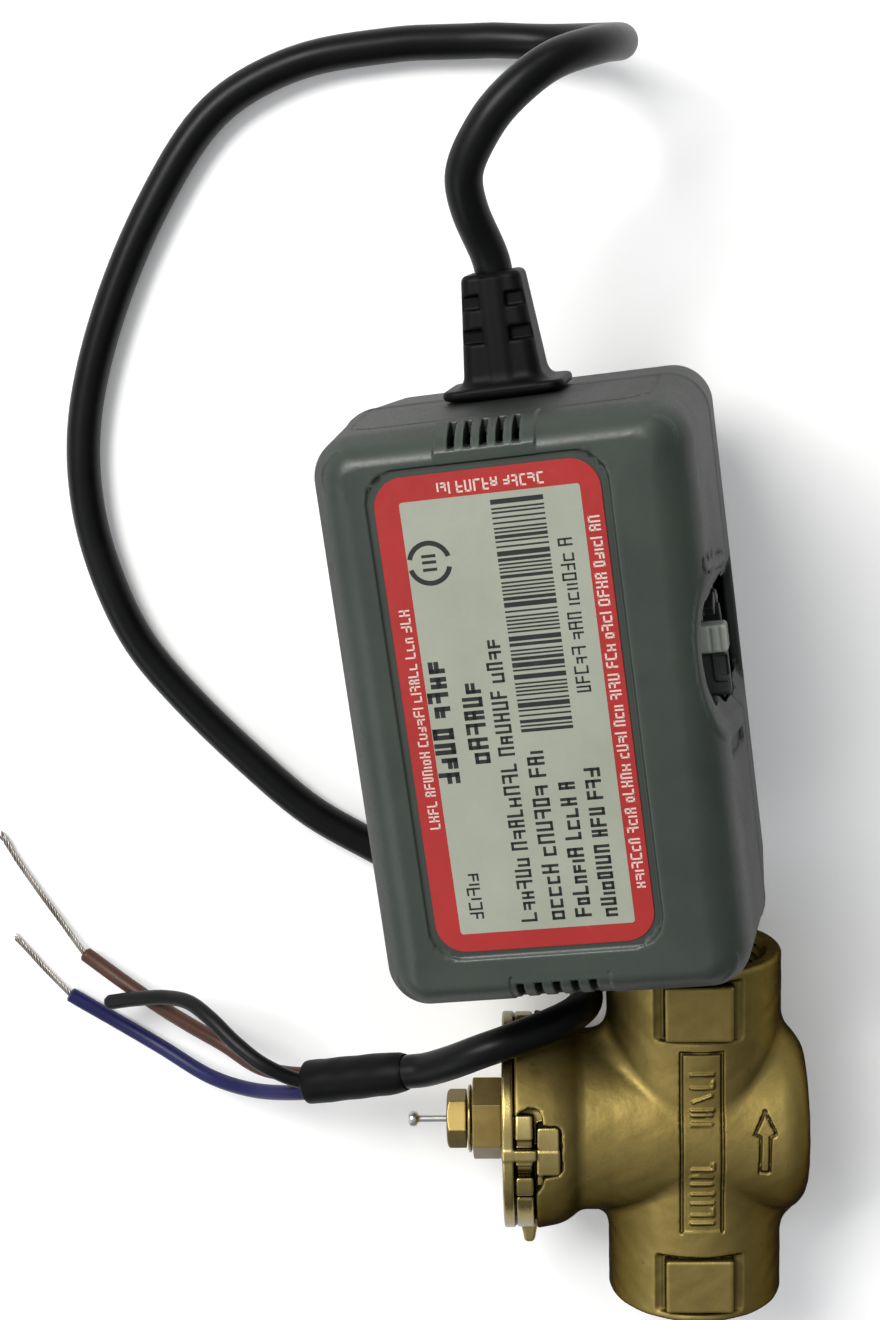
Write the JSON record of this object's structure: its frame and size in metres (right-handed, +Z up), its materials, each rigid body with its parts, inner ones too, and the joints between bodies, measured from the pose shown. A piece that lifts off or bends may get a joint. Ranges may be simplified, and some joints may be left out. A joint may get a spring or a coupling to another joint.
{
  "type": "zone valve",
  "caption": "Brass two-way heating zone valve beside its plug-on motor actuator box, with a looped black flex ending in bare tails.",
  "frame": {"origin": "centre of the flat back face of the brass chamber, opposite the bonnet", "axes": "+X out of the chamber's back face, away from the bonnet; +Y along the pipe in the flow direction; +Z up from the bench"},
  "size_m": [0.1582, 0.2399, 0.0803],
  "materials": {
    "cast_brass": "sand-cast brass with a fine pebbled skin and machined ends",
    "polished_brass": "machined and polished brass",
    "steel": "bright turned or rolled steel",
    "nylon": "natural nylon, satin",
    "seal_rubber": "matt moulded rubber",
    "housing_plastic": "dark green-grey moulded plastic, fine satin grain",
    "dark_plastic": "black-grey moulded plastic",
    "white_plastic": "frosted white moulded plastic",
    "label": "satin printed film, red border round a pale panel",
    "circuit_board": "green solder resist",
    "black_rubber": "black moulded rubber, satin",
    "brown_insulation": "brown extruded insulation",
    "blue_insulation": "blue extruded insulation",
    "tinned_copper": "tinned copper strands, twisted"
  },
  "bodies": {
    "valve": {"valve_body": "cast_brass", "bonnet": "polished_brass", "bonnet_o_ring": "seal_rubber", "gland_nut": "polished_brass", "gland_washer": "polished_brass", "stem_bush": "polished_brass", "stem_o_ring": "seal_rubber", "cartridge_cage": "dark_plastic", "seat_ring": "polished_brass"},
    "stem": {"stem": "steel", "plunger": "nylon", "plunger_seal": "seal_rubber", "stem_clip": "steel"},
    "actuator": {"front_cover": "housing_plastic", "rear_cover": "housing_plastic", "label": "label", "cover_screw_1": "steel", "cover_screw_2": "steel", "cover_screw_3": "steel", "cover_screw_4": "steel", "strain_relief": "black_rubber", "flex_cable": "black_rubber", "flex_end_sleeve": "black_rubber", "wire_black": "black_rubber", "wire_brown": "brown_insulation", "wire_blue": "blue_insulation", "brown_strands": "tinned_copper", "blue_strands": "tinned_copper", "coupling_ring": "dark_plastic", "socket_plate": "dark_plastic", "motor_can": "steel", "gear_plate": "steel", "idler_pin": "steel", "limit_switch_1": "dark_plastic", "limit_switch_2": "dark_plastic", "circuit_board": "circuit_board", "terminal_block": "dark_plastic", "flex_clamp": "dark_plastic"},
    "latch": {"latch_button": "white_plastic"},
    "output": {"output_gear": "nylon", "rack_pinion": "nylon", "output_shaft": "steel"},
    "idler": {"idler_gear": "nylon", "idler_pinion": "nylon"},
    "rotor": {"motor_pinion": "polished_brass", "motor_shaft": "steel"},
    "fork": {"drive_fork": "nylon"},
    "lever_1": {"switch_lever_1": "steel"},
    "lever_2": {"switch_lever_2": "steel"}
  },
  "joints": [
    {"name": "stem_slide", "type": "slide", "parent": "valve", "child": "stem", "axis": [1, 0, 0], "range_m": [0, 0.0046]},
    {"name": "actuator_lift", "type": "slide", "parent": "valve", "child": "actuator", "axis": [0, 0, 1], "range_m": [0, 0.08]},
    {"name": "latch_press", "type": "slide", "parent": "actuator", "child": "latch", "axis": [0.1362, 0.0344, -0.9901], "range_m": [0, 0.002]},
    {"name": "output_turn", "type": "hinge", "parent": "actuator", "child": "output", "pos_m": [-0.04841, 0.08692, 0.02333], "axis": [0.1362, 0.0344, -0.9901], "range_deg": [0, 54.9]},
    {"name": "idler_turn", "type": "hinge", "parent": "actuator", "child": "idler", "pos_m": [-0.0534, 0.07253, 0.01204], "axis": [0.1362, 0.0344, -0.9901], "range_deg": [-164.7, 0]},
    {"name": "rotor_turn", "type": "hinge", "parent": "actuator", "child": "rotor", "pos_m": [-0.03925, 0.06482, 0.01271], "axis": [0.1362, 0.0344, -0.9901], "range_deg": [0, 494.1]},
    {"name": "fork_slide", "type": "slide", "parent": "actuator", "child": "fork", "axis": [0.9843, 0.1087, 0.1392], "range_m": [0, 0.0046]},
    {"name": "lever_1_trip", "type": "hinge", "parent": "actuator", "child": "lever_1", "pos_m": [-0.06324, 0.09916, 0.02171], "axis": [-0.1362, -0.0344, 0.9901], "range_deg": [0, 6]},
    {"name": "lever_2_trip", "type": "hinge", "parent": "actuator", "child": "lever_2", "pos_m": [-0.05045, 0.10057, 0.02352], "axis": [-0.1362, -0.0344, 0.9901], "range_deg": [0, 6]}
  ],
  "couplings": [
    {"joint": "idler_turn", "follows": "output_turn", "ratio": -3},
    {"joint": "rotor_turn", "follows": "output_turn", "ratio": 9},
    {"joint": "fork_slide", "follows": "output_turn", "m_per_rad": 0.0048}
  ]
}
